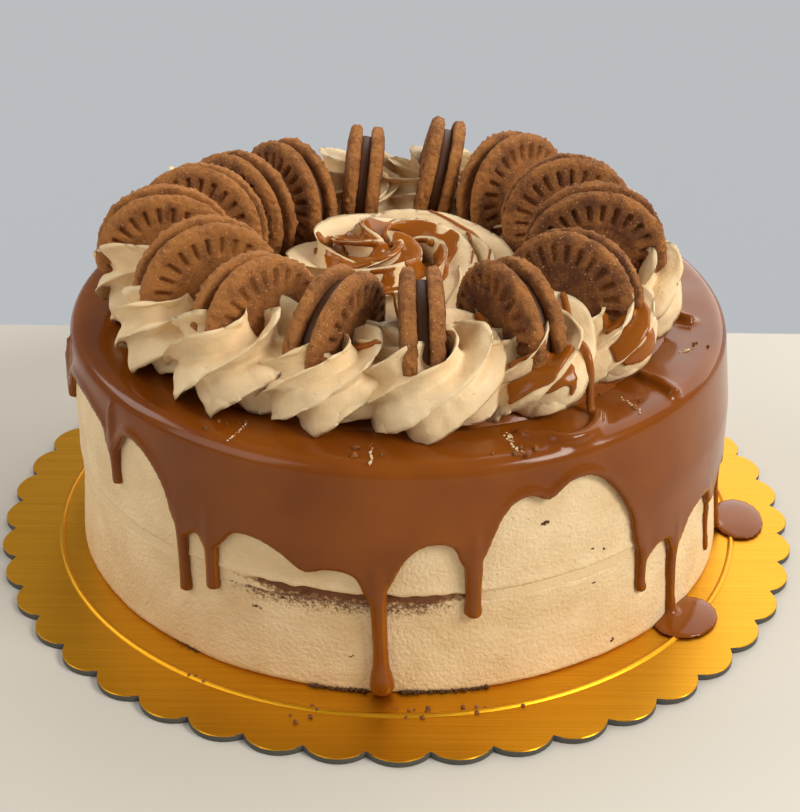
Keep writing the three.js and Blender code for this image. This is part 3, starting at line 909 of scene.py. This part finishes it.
# Thin ridges that lean one way, with deep round valleys between them
def starSection(fins, depth):
    curve = bpy.data.curves.new("starSection", "CURVE")
    curve.dimensions = "2D"
    spline = curve.splines.new("POLY")
    count = piping["sectionPoints"]
    spline.points.add(count - 1)
    spline.use_cyclic_u = True
    for i in range(count):
        turn = i / count * fins
        # points crowd towards the ridges
        turn -= 0.8 * sin(2 * pi * turn) / (2 * pi)
        radius = 1 - depth * abs(sin(pi * turn)) ** 0.5
        angle = 2 * pi * turn / fins + radians(piping["finCurl"]) * (radius - 0.5)
        spline.points[i].co = (radius * cos(angle), radius * sin(angle), 0, 1)
    return addObject("starSection", curve)


# The foot spreads flat on the glaze
def restOnGlaze(piece):
    moveVertices(piece, lambda x, y, z: (x, y, np.maximum(z, glazeTop(y))))


def makeSwirl(index, section):
    azimuth = radians(biscuitPlaces[index][0])
    draw = random.Random(40 + index)
    start = radians(draw.uniform(125, 175))
    coil = piping["swirlCoil"]
    rope = piping["swirlRope"] * draw.uniform(0.92, 1.07)
    turns = piping["swirlTurns"] * draw.uniform(0.95, 1.08)
    twist = piping["swirlTwist"] * draw.uniform(0.9, 1.15)
    firstTilt = draw.uniform(0, 1)
    distance = piping["swirlDistance"] + piping["nudges"].get(index, 0) * mm
    centre = Vector((*piping["ringCentre"], 0)) + distance * Vector((cos(azimuth), sin(azimuth), 0))
    points, radii, tilts = [], [], []
    for i in range(piping["swirlSteps"] + 1):
        share = i / piping["swirlSteps"]
        turn = turns * share
        reach = coil * (1 - 0.8 * max(0, share - 0.62) / 0.38)
        angle = start + 2 * pi * turn
        out = reach * cos(angle) * piping["swirlStretch"]
        side = reach * sin(angle)
        x = out * cos(azimuth) - side * sin(azimuth)
        y = out * sin(azimuth) + side * cos(azimuth)
        place = centre + Vector((x, y, 0))
        # each swirl laps over the next one round the ring, and is highest outside its biscuit
        rise = piping["swirlRise"] * max(0, share - 0.6) / 0.4
        place.z = glazeTop(place.y) + (0.82 * rope + rise + (1.5 * out + 2 * side) / coil * mm)
        points.append(place)
        begin = min(1, 0.35 + share / 0.1)
        end = 1 - 0.72 * (max(0, share - 0.6) / 0.4) ** 1.2
        pulse = 1 + 0.08 * sin(2 * pi * (4.3 * turn + firstTilt))
        radii.append(rope * begin * end * pulse)
        tilts.append(2 * pi * (twist * turn + firstTilt))
    swirl = sweepStrand(f"swirl{index + 1:02d}", points, radii, tilts, section)
    low = piping["backLow"] if 40 < biscuitPlaces[index][0] < 140 else 1

    # draws the tips in to a rounder outline, and settles the swirls at the back
    def settle(x, y, z):
        distance = np.hypot(x - centre.x, y - centre.y)
        over = np.maximum(distance - piping["swirlReach"], 0)
        scale = (distance - 0.55 * over) / np.maximum(distance, mm)
        floor = glazeTop(y)
        return centre.x + (x - centre.x) * scale, centre.y + (y - centre.y) * scale, floor + (z - floor) * low

    moveVertices(swirl, settle)
    restOnGlaze(swirl)
    ropes[swirl.name] = (np.array([tuple(point) for point in points]), np.array(radii))
    roughen(swirl, *piping["folds"])
    roughen(swirl, *piping["grain"])
    finishPiece(swirl, "pipedCream", [f"swirl_{index + 1:02d}"])
    return swirl


def makeRosette(section):
    middleX, middleY = piping["rosetteCentre"]
    points, radii, tilts = [], [], []
    for i in range(piping["rosetteSteps"] + 1):
        share = i / piping["rosetteSteps"]
        turn = piping["rosetteTurns"] * share
        reach = piping["rosetteRadius"] * (1 - share) ** 0.85
        angle = radians(piping["rosetteStart"]) + 2 * pi * turn
        y = middleY + reach * sin(angle)
        lift = 0.55 * piping["rosetteRope"] + piping["rosetteRise"] * share**2
        points.append(Vector((middleX + reach * cos(angle), y, glazeTop(y) + lift)))
        begin = min(1, 0.3 + share / 0.06)
        end = 1 - 0.45 * max(0, share - 0.75) / 0.25
        radii.append(piping["rosetteRope"] * begin * end)
        tilts.append(2 * pi * piping["rosetteTwist"] * turn)
    rosette = sweepStrand("rosette", points, radii, tilts, section)
    restOnGlaze(rosette)
    roughen(rosette, *piping["rosetteFolds"])
    finishPiece(rosette, "pipedCream", ["centre_rosette"])
    return rosette


ropes = {}  # points and radii of each swirl's rope
sections = [starSection(fins, depth) for fins, depth in piping["tips"]]
swirls = [makeSwirl(i, sections[i % 2]) for i in range(len(biscuitPlaces))]
rosette = makeRosette(sections[1])
for section in sections:
    bpy.data.objects.remove(section)
print("piped cream made")

# Sandwich biscuits: two domed wafers with a ring of short grooves near the rim, and a filling set back
biscuit = {
    "radius": 20.4 * mm,
    "thickness": 13 * mm,
    "wafer": 4.9 * mm,
    "dome": 1.1 * mm,
    "fillingInset": 3.2 * mm,
    "grooves": 25,
    "grooveDepth": 1.3 * mm,
    "grooveWidth": 0.48,  # share of the spacing
    "grooveFrom": 12.2 * mm,
    "grooveTo": 17.6 * mm,
    "wellRadius": 11.4 * mm,
    "wellDepth": 0.35 * mm,
    "sides": 216,
    "crumble": 0.9 * mm,
    "unevenness": (9 * mm, 0.6 * mm),  # length, height
    # degrees below level, and distance from the middle, of the cut at the hidden foot
    "trim": (52, 14 * mm),
    "deepTrims": {13: (30, 14.2 * mm)},
    # painted light and shade: how much paler (above 0) or darker a biscuit is painted, by index, for how the
    # light falls on it
    "paintedLight": {0: -0.07, 1: -0.05, 2: -0.12, 3: -0.12, 4: -0.08, 10: 0.06, 11: 0.1, 12: 0.14, 13: 0.1},
}


def makeWafer():
    radius, thick = biscuit["radius"], biscuit["wafer"]
    # the flat underside, then the rounded edge: distance in from the rim, height
    profile = [(0, 0), (9 * mm, 0), (16 * mm, 0), (18.5 * mm, 0)]
    edge = [(0.9, 0.05), (0.3, 0.3), (0, 0.8), (0, 1.4), (0, 2.0), (0.1, 2.6), (0.35, 3.0), (0.8, 3.35)]
    profile += [(radius - inset * mm, height * mm) for inset, height in edge]
    faceRadii = [19.1, 18.6, 18.1, 17.6, 17.1, 16.5, 15.9, 15.3, 14.7, 14.1, 13.5, 12.9, 12.3, 11.7, 11]
    for r in faceRadii + [10, 8.8, 7.5, 6.2, 5, 3.8, 2.6, 1.4, 0]:
        drop = biscuit["dome"] * (r * mm / radius) ** 2.4 + 0.2 * mm * max(0, (r - 17.6) / 1.5)
        profile.append((r * mm, thick - drop))
    wafer = growRings("wafer", profile, biscuit["sides"])

    # presses the grooves in and makes the surface and the rim crumbly
    def bake(x, y, z):
        distance = np.hypot(x, y)
        turn = np.degrees(np.arctan2(y, x)) * biscuit["grooves"] / 360
        across = np.abs((turn % 1) - 0.5) * 2
        groove = np.clip((biscuit["grooveWidth"] - across) / (0.6 * biscuit["grooveWidth"]), 0, 1)
        inner = np.clip((distance - biscuit["grooveFrom"]) / (0.9 * mm), 0, 1)
        outer = np.clip((biscuit["grooveTo"] - distance) / (0.9 * mm), 0, 1)
        # a shallow round well inside the grooves, as the mould leaves
        well = np.clip((biscuit["wellRadius"] - distance) / (0.8 * mm), 0, 1)
        pressed = biscuit["grooveDepth"] * groove * inner * outer + biscuit["wellDepth"] * well
        newZ = z - np.where(z > 0.6 * thick, pressed, 0)
        scale = np.ones(len(x))
        for i in range(len(x)):
            rim = min(max((distance[i] - 17.8 * mm) / (1.6 * mm), 0), 1)
            place = Vector((x[i], y[i], z[i]))
            coarse = noise.noise(place / (2.4 * mm))
            fine = noise.noise(place / (1.2 * mm))
            strength = biscuit["crumble"] * (0.25 + 0.75 * rim)
            newZ[i] += strength * (0.15 * coarse + 0.45 * fine)
            scale[i] += rim * strength * (0.2 * coarse + 0.8 * fine) / max(distance[i], 5 * mm)
        return x * scale, y * scale, newZ

    rim = wafer.data.attributes.new("rim", "FLOAT", "POINT")
    shares = []
    for vertex in wafer.data.vertices:
        near = min(max((hypot(vertex.co.x, vertex.co.y) - 18.4 * mm) / (1.6 * mm), 0), 1)
        shares.append(0.16 * near * (1 if vertex.co.z > 0.4 * mm else 0.4))
    rim.data.foreach_set("value", shares)
    moveVertices(wafer, bake)
    return wafer


# Cuts off the low outer edge, which the swirl hides, so that it doesn't stick out of a fold
def trimFoot(piece, middle, angle, below, distance):
    low = radians(below)
    down = Vector((cos(angle) * cos(low), sin(angle) * cos(low), -sin(low)))
    editWhole(piece)
    bpy.ops.mesh.bisect(plane_co=middle + down * distance, plane_no=down, clear_outer=True, use_fill=True)
    leaveEdit()


def makeBiscuits():
    wafer = makeWafer()
    radius = biscuit["radius"] - biscuit["fillingInset"]
    gap = biscuit["thickness"] / 2 - biscuit["wafer"]
    reach = gap + 0.2 * mm
    profile = [(0, -reach), (radius - 0.3 * mm, -reach), (radius, -0.5 * gap)]
    profile += [(radius, 0.5 * gap), (radius - 0.3 * mm, reach), (0, reach)]
    filling = growRings("filling", profile, 96)
    upright = Matrix.Rotation(radians(-90), 4, "X")
    for index, (azimuth, distance, height, turn, lean) in enumerate(biscuitPlaces):
        number = f"{index + 1:02d}"
        angle = radians(azimuth - turn)
        middle = Vector((*piping["ringCentre"], boardTop)) + polar(distance * mm, azimuth, height * mm)
        stand = Matrix.Translation(middle) @ Matrix.Rotation(angle, 4, "Z")
        stand = stand @ Matrix.Rotation(radians(lean), 4, "X") @ upright
        draw = random.Random(70 + index)
        halves = []
        for flip in (0, pi):
            half = copyPiece(wafer, "half")
            spin = Matrix.Rotation(draw.uniform(0, 2 * pi), 4, "Z")
            side = stand @ Matrix.Rotation(flip, 4, "X") @ Matrix.Translation((0, 0, gap))
            half.data.transform(side @ spin)
            halves.append(half)
        wafers = joinPieces(halves, f"wafers{number}")
        roughen(wafers, *biscuit["unevenness"])
        # each biscuit's painted light or shade goes into its rim attribute
        toneAndPaintedLight = wafers.data.attributes["rim"].data
        shares = np.empty(len(toneAndPaintedLight), np.float32)
        toneAndPaintedLight.foreach_get("value", shares)
        toneAndPaintedLight.foreach_set("value", shares + np.float32(biscuit["paintedLight"].get(index, 0)))
        trimFoot(wafers, middle, angle, *biscuit["deepTrims"].get(index, biscuit["trim"]))
        finishPiece(wafers, "biscuit", [f"biscuit_{number}"])
        core = copyPiece(filling, f"filling{number}")
        core.data.transform(stand)
        finishPiece(core, "filling", [f"biscuit_{number}"])
    bpy.data.objects.remove(wafer)
    bpy.data.objects.remove(filling)


makeBiscuits()
print("biscuits made")

# Caramel over the cream: films that follow it, and thin strands draped on it
drizzle = {
    "thickness": 0.7 * mm,
    "hollow": 0.74,  # of the rope's radius: the sauce lies no further out
    "filmVoxel": 0.45 * mm,
    "strandVoxel": 0.4 * mm,
    # swirl's index, middle of the film in plan (mm), radius (mm)
    "films": [
        (1, (38.4, -76), 10),
        (2, (64.5, -48.5), 9),
        (4, (66, 22), 7),
        (3, (72, -2), 5),
        (8, (-38, 44), 6),
    ],
    "rosetteFilm": ((-4, 2), 19),
    # width, points in plan (mm)
    "strands": [
        (2.4, [(41.5, -36), (44.5, -47), (46.5, -57), (50, -66), (52.5, -71), (52, -76)]),
        (2.0, [(13, -50), (17, -54), (20.5, -58), (24.5, -62)]),
        (1.8, [(-13.5, -64), (-10, -69.5), (-4.5, -75)]),
        (2.6, [(70, 15), (73.5, 12), (77, 7)]),
        (2.0, [(58, -34), (61, -41), (66, -47)]),
        (1.6, [(-33, -10), (-24, -16), (-13, -21), (-1, -24), (12, -23)]),
        (1.4, [(-30, -17), (-20, -22), (-9, -26), (3, -28)]),
        (1.4, [(0, 25), (10, 22), (18, 15), (22, 5), (21, -6)]),
        (1.3, [(5, 29), (17, 23), (25, 13), (27, 0), (25, -10)]),
    ],
}


def surfaceTree(piece):
    vertices = [vertex.co.copy() for vertex in piece.data.vertices]
    return BVHTree.FromPolygons(vertices, [tuple(face.vertices) for face in piece.data.polygons])


def topAt(trees, x, y):
    highest = glazeTop(y)
    for tree in trees:
        hit = tree.ray_cast(Vector((x, y, 0.2)), Vector((0, 0, -1)))[0]
        if hit:
            highest = max(highest, hit.z)
    return highest


# A film of sauce on the upward faces of a cream piece, with an uneven outline; in the hollows only
# where the piece's rope is known
def makeFilm(piece, name, middle, radius, seed):
    film = copyPiece(piece, name)
    activate(film)
    bpy.ops.object.mode_set(mode="EDIT")
    bpy.ops.mesh.select_all(action="DESELECT")
    leaveEdit()
    ropePoints, ropeRadii = ropes.get(piece.name, (None, None))
    for face in film.data.polygons:
        place = face.center
        away = hypot(place.x - middle[0] * mm, place.y - middle[1] * mm)
        uneven = noise.noise(Vector((place.x / (6 * mm), place.y / (6 * mm), seed)))
        face.select = away > radius * mm * (1 + 0.45 * uneven) or face.normal.z < 0.1
        if not face.select and ropePoints is not None:
            reach = np.linalg.norm(ropePoints - np.array(place), axis=1) / ropeRadii
            face.select = bool(reach.min() > drizzle["hollow"])
    bpy.ops.object.mode_set(mode="EDIT")
    bpy.ops.mesh.delete(type="FACE")
    leaveEdit()
    applyModifier(film, "SMOOTH", factor=0.6, iterations=6)
    applyModifier(film, "SOLIDIFY", thickness=2.4 * drizzle["thickness"], offset=0.2)
    fuse(film, drizzle["filmVoxel"], 4)
    return film


def makeDrapedStrand(width, plan, trees):
    count = 60
    line = smoothLine(plan, count)
    heights = [topAt(trees, p.x, p.y) for p in line]
    # fills the dips that a thin strand would span
    for _ in range(3):
        padded = [heights[0], *heights, heights[-1]]
        heights = [max(padded[i + 1], sum(padded[i : i + 3]) / 3) for i in range(count)]
    points = [Vector((p.x, p.y, h + 0.2 * width * mm)) for p, h in zip(line, heights)]
    radii = [width / 2 * mm * (0.25 + 0.8 * sin(pi * i / (count - 1)) ** 0.5) for i in range(count)]
    return sweepStrand("strand", points, radii)


def makeDrizzle():
    parts = []
    for seed, (index, middle, radius) in enumerate(drizzle["films"]):
        parts.append(makeFilm(swirls[index], "film", middle, radius, seed + 0.5))
    trees = [surfaceTree(piece) for piece in [*swirls, rosette]]
    for width, plan in drizzle["strands"]:
        parts.append(makeDrapedStrand(width, plan, trees))
    whole = joinPieces(parts, "caramelDrizzle")
    fuse(whole, drizzle["strandVoxel"], 4)
    finishPiece(whole, "thinCaramel")
    finishPiece(makeFilm(rosette, "rosetteCaramel", *drizzle["rosetteFilm"], 7.5), "thinCaramel")


makeDrizzle()
print("caramel drizzle made")

# Loose bits: biscuit crumbs, and scrapes of cream dragged over the glaze
looseBits = {
    "crumbSize": 0.8 * mm,
    # middle (mm), spread (mm), count
    "crumbsOnGlaze": [
        ((30, -88), 6, 7),
        ((-8, -90), 5, 5),
        ((60, -62), 8, 6),
        ((-45, -78), 6, 5),
        ((84, -30), 5, 4),
    ],
    "crumbsOnBoard": [((4, -106), 5, 8), ((-18, -108), 10, 6), ((25, -107), 10, 5), ((-60, -95), 14, 3)],
    # first and last azimuth, count: dark bits along the foot, partly crumb and partly painted shadow where
    # the cake meets the board
    "footCrumbsAndShadow": [(-104, -95, 90), (-90, -76, 130), (-128, -124, 9)],
    # azimuth, height, size
    "specks": [
        (-112.9, 22.9, 0.9),
        (-111.8, 22.6, 0.6),
        (-66.8, 51.6, 0.9),
        (-57.9, 38.5, 0.5),
        (-55.9, 37.2, 0.6),
        (-57.5, 26.4, 0.5),
        (-53.6, 3.8, 0.7),
        (-97.4, 11.6, 0.5),
        (-104, 31, 0.7),
        (-108, 28, 0.5),
    ],
    "crumbsPerSpeck": 5,
    # ends in plan (mm)
    "scrapes": [
        ((-43.7, -85), (-39.5, -76)),
        ((-6.9, -96), (-6.7, -86)),
        ((27, -80), (31.5, -89)),
        ((60, -60), (65, -68)),
        ((80, -34), (84, -31)),
        ((28.5, -79), (29.5, -84)),
    ],
    "bitsPerScrape": 16,
}


def scatter(source, name, places, material):
    copies = []
    for place, size, turn in places:
        piece = copyPiece(source, "bit")
        turned = Matrix.Rotation(turn, 4, (0.4, 0.7, 0.6))
        piece.data.transform(Matrix.Translation(place) @ turned @ Matrix.Scale(size, 4))
        copies.append(piece)
    finishPiece(joinPieces(copies, name), material)


def makeLooseBits():
    draw = random.Random(5)
    icoSphereAdd = bpy.ops.mesh.primitive_ico_sphere_add
    crumb = addPrimitive(icoSphereAdd, subdivisions=3, radius=looseBits["crumbSize"])
    roughen(crumb, looseBits["crumbSize"], 0.9 * mm)
    places = []
    for spots, level in ((looseBits["crumbsOnGlaze"], None), (looseBits["crumbsOnBoard"], boardTop)):
        for middle, spread, count in spots:
            for _ in range(count):
                x = (middle[0] + draw.uniform(-spread, spread)) * mm
                y = (middle[1] + draw.uniform(-spread, spread) * 0.5) * mm
                size = draw.uniform(0.3, 0.9)
                height = (glazeTop(y) if level is None else level) + 0.5 * size * looseBits["crumbSize"]
                places.append((Vector((x, y, height)), size, draw.uniform(0, 6)))
    scatter(crumb, "biscuitCrumbs", places, "biscuit")
    places = []
    # dark bits along the foot: crumbs, and painted shadow where the cake meets the board
    for first, last, count in looseBits["footCrumbsAndShadow"]:
        for i in range(count):
            azimuth = first + (last - first) * (i + draw.random()) / count
            place = polar(wallRadius(0) + draw.uniform(-0.7, 0.4) * mm, azimuth, draw.uniform(0.1, 0.8) * mm)
            places.append((Vector(leaning(*place)), draw.uniform(0.2, 0.7), draw.uniform(0, 6)))
    for azimuth, height, size in looseBits["specks"]:
        for _ in range(looseBits["crumbsPerSpeck"]):
            besides = azimuth + draw.gauss(0, 0.4) * size
            place = polar(wallRadius(height * mm), besides, (height + draw.gauss(0, 0.3) * size) * mm)
            places.append((Vector(leaning(*place)), size * draw.uniform(0.25, 0.6), draw.uniform(0, 6)))
    scatter(crumb, "spongeCrumbsAndFootShadow", places, "darkCrumbAndShadow")
    places = []
    count = looseBits["bitsPerScrape"]
    for start, end in looseBits["scrapes"]:
        for i in range(count):
            share = i / (count - 1) + draw.uniform(-0.03, 0.03)
            x = (start[0] + (end[0] - start[0]) * share + draw.uniform(-0.5, 0.5)) * mm
            y = (start[1] + (end[1] - start[1]) * share + draw.uniform(-0.4, 0.4)) * mm
            size = draw.uniform(0.15, 0.6) * (1 - 0.5 * abs(2 * share - 1))
            places.append((Vector((x, y, glazeTop(y) + 0.3 * size * mm)), size, draw.uniform(0, 6)))
    scatter(crumb, "creamScrapes", places, "buttercream")
    bpy.data.objects.remove(crumb)


makeLooseBits()
print("loose bits made")

# Room, light and camera: sizes in metres, the camera's places in mm from the board's top
studio = {
    "floor": "#C9C6BE",
    "backdrop": "#B6B9BD",
    "room": "#94908A",
    "roomStrength": 0.9,
    "floorEnd": 0.135,
    "floorSize": (8, 2.5),
    # place, size, power in watts, colour
    "lights": {
        "window": ((0.8, 1.1, 0.95), 2.0, 25, "#FFFBF4"),
        "side": ((1.2, -0.7, 1.1), 0.7, 24, "#FFF9F0"),
        "fill": ((-1.3, -0.8, 1.0), 1.2, 9, "#FFFBF5"),
        "left": ((-1.2, 0.4, 1.0), 0.7, 6, "#FFFBF5"),
    },
    "cameraPlace": (0, -435.9, 271.2),
    "cameraAim": (0.64, 66.4, 0),
    "cameraRoll": 0.71,
    "focalLength": 69.72,
}


def turnTowards(thing, place, target):
    thing.location = place
    thing.rotation_mode = "QUATERNION"
    thing.rotation_quaternion = (target - Vector(place)).to_track_quat("-Z", "Y")


def makeStudio():
    width, depth = studio["floorSize"]
    planeAdd = bpy.ops.mesh.primitive_plane_add
    floor = addPrimitive(planeAdd, size=1, location=(0, studio["floorEnd"] - depth / 2, boardBottom))
    floor.name = "floor"
    floor.scale = (width, depth, 1)
    bpy.ops.object.transform_apply(location=False, rotation=False, scale=True)
    floor.data.materials.append(plainMaterial("paleFloor", studio["floor"], 0.6))
    material, tree, shader, _ = newMaterial("paleBackdrop")
    glow = {"Emission Color": linearColour(studio["backdrop"]), "Emission Strength": 1}
    setInputs(tree, shader, {"Base Color": linearColour("#000000"), **glow})
    backdrop = addPrimitive(planeAdd, size=30, location=(0, 0, -0.8))
    backdrop.name = "backdrop"
    backdrop.data.materials.append(material)
    for name, (place, size, power, colour) in studio["lights"].items():
        light = bpy.data.lights.new(name, "AREA")
        light.size = size
        light.energy = power
        light.color = linearColour(colour)[:3]
        turnTowards(addObject(name, light), place, Vector((0, 0, 0.05)))
    scene.world = bpy.data.worlds.new("room")
    scene.world.use_nodes = True
    tree = scene.world.node_tree
    room = {"Color": linearColour(studio["room"]), "Strength": studio["roomStrength"]}
    setInputs(tree, tree.nodes["Background"], room)


def makeCamera():
    camera = bpy.data.cameras.new("camera")
    camera.sensor_width = 36
    camera.lens = studio["focalLength"]
    camera.clip_start = 0.01
    camera.clip_end = 20
    holder = addObject("camera", camera)
    place, aim = (Vector(studio[key]) * mm + Vector((0, 0, boardTop)) for key in ("cameraPlace", "cameraAim"))
    turnTowards(holder, place, aim)
    holder.rotation_quaternion @= Quaternion((0, 0, 1), radians(studio["cameraRoll"]))
    scene.camera = holder
    scene.view_settings.view_transform = "Standard"


makeStudio()
makeCamera()
print("studio made")
